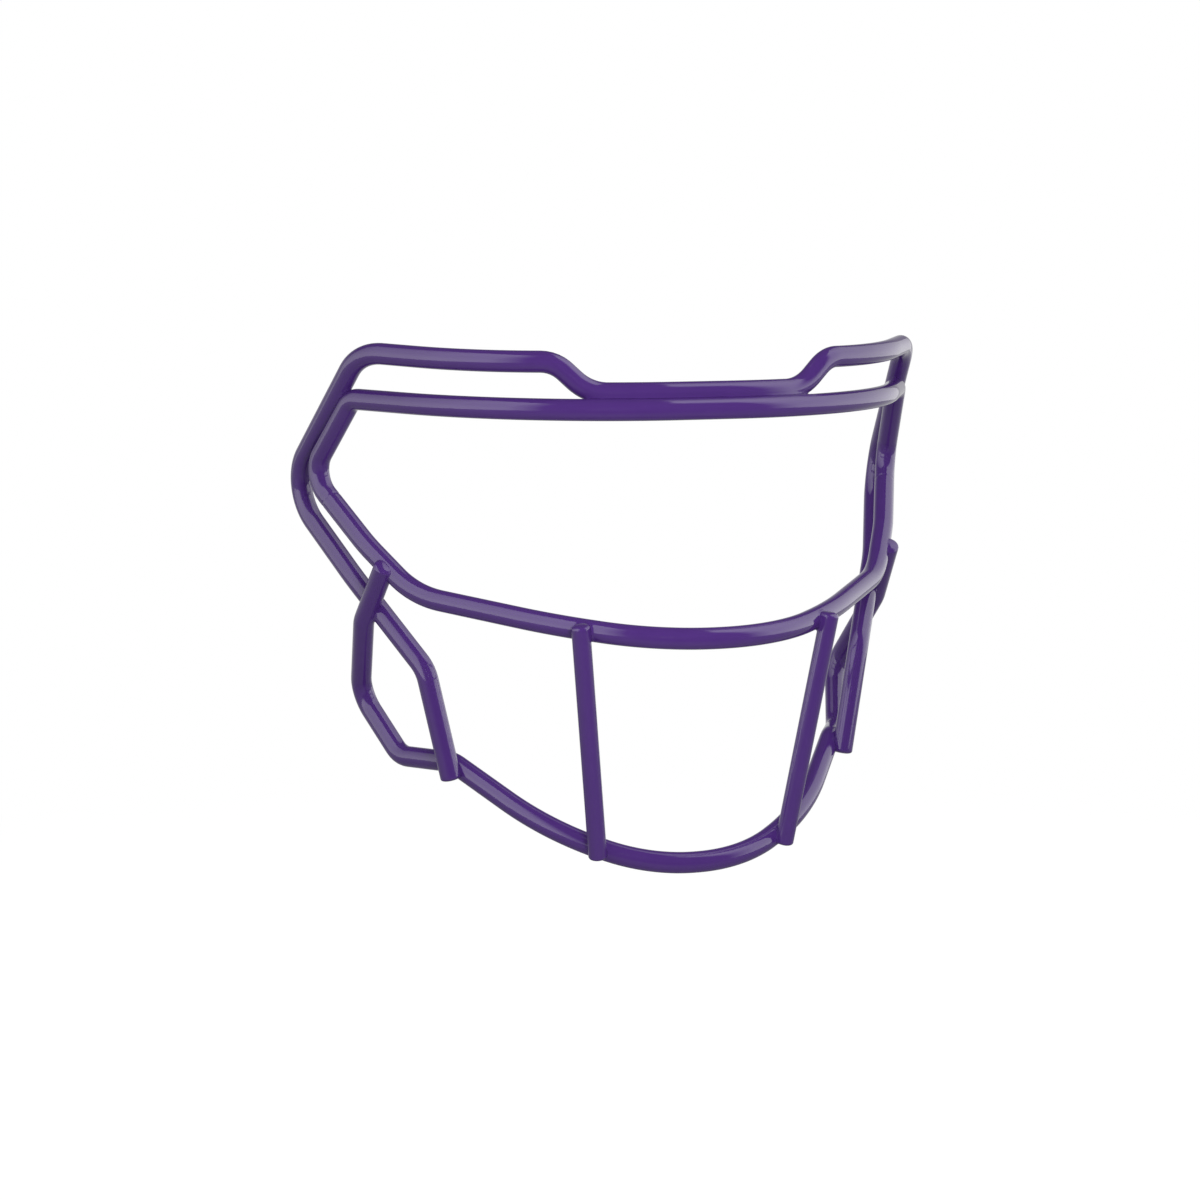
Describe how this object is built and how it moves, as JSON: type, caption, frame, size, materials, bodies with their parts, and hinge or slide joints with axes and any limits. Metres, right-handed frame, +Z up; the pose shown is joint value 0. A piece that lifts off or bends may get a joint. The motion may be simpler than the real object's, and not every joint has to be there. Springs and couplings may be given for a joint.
{
  "type": "football helmet facemask",
  "caption": "Coated steel wire cage for the front of a football helmet, with a wide eye window, a chin guard and open side loops.",
  "frame": {"origin": "centre of the mask's bounding box, on its plane of symmetry", "axes": "+X across the face to the wearer's left, +Y back towards the face (the front of the mask faces -Y), +Z up"},
  "size_m": [0.2404, 0.1292, 0.1859],
  "materials": {
    "steel_rod": "bright drawn steel wire",
    "purple_coat": "glossy purple polymer coat",
    "weld_metal": "grey weld metal"
  },
  "bodies": {
    "root": {"window_rod": "steel_rod", "nose_rod": "steel_rod", "brow_rod": "steel_rod", "chin_rod": "steel_rod", "left_upright_rod": "steel_rod", "right_upright_rod": "steel_rod", "window_coat": "purple_coat", "nose_coat": "purple_coat", "brow_coat": "purple_coat", "chin_coat": "purple_coat", "left_upright_coat": "purple_coat", "right_upright_coat": "purple_coat", "left_butt_weld": "weld_metal", "right_butt_weld": "weld_metal", "brow_seam_weld": "weld_metal", "left_side_weld": "weld_metal", "right_side_weld": "weld_metal", "left_hook_weld": "weld_metal", "right_hook_weld": "weld_metal", "left_hook_end_weld": "weld_metal", "right_hook_end_weld": "weld_metal", "left_tail_weld": "weld_metal", "right_tail_weld": "weld_metal", "left_upright_head_weld": "weld_metal", "right_upright_head_weld": "weld_metal", "left_upright_foot_weld": "weld_metal", "right_upright_foot_weld": "weld_metal"}
  },
  "joints": []
}
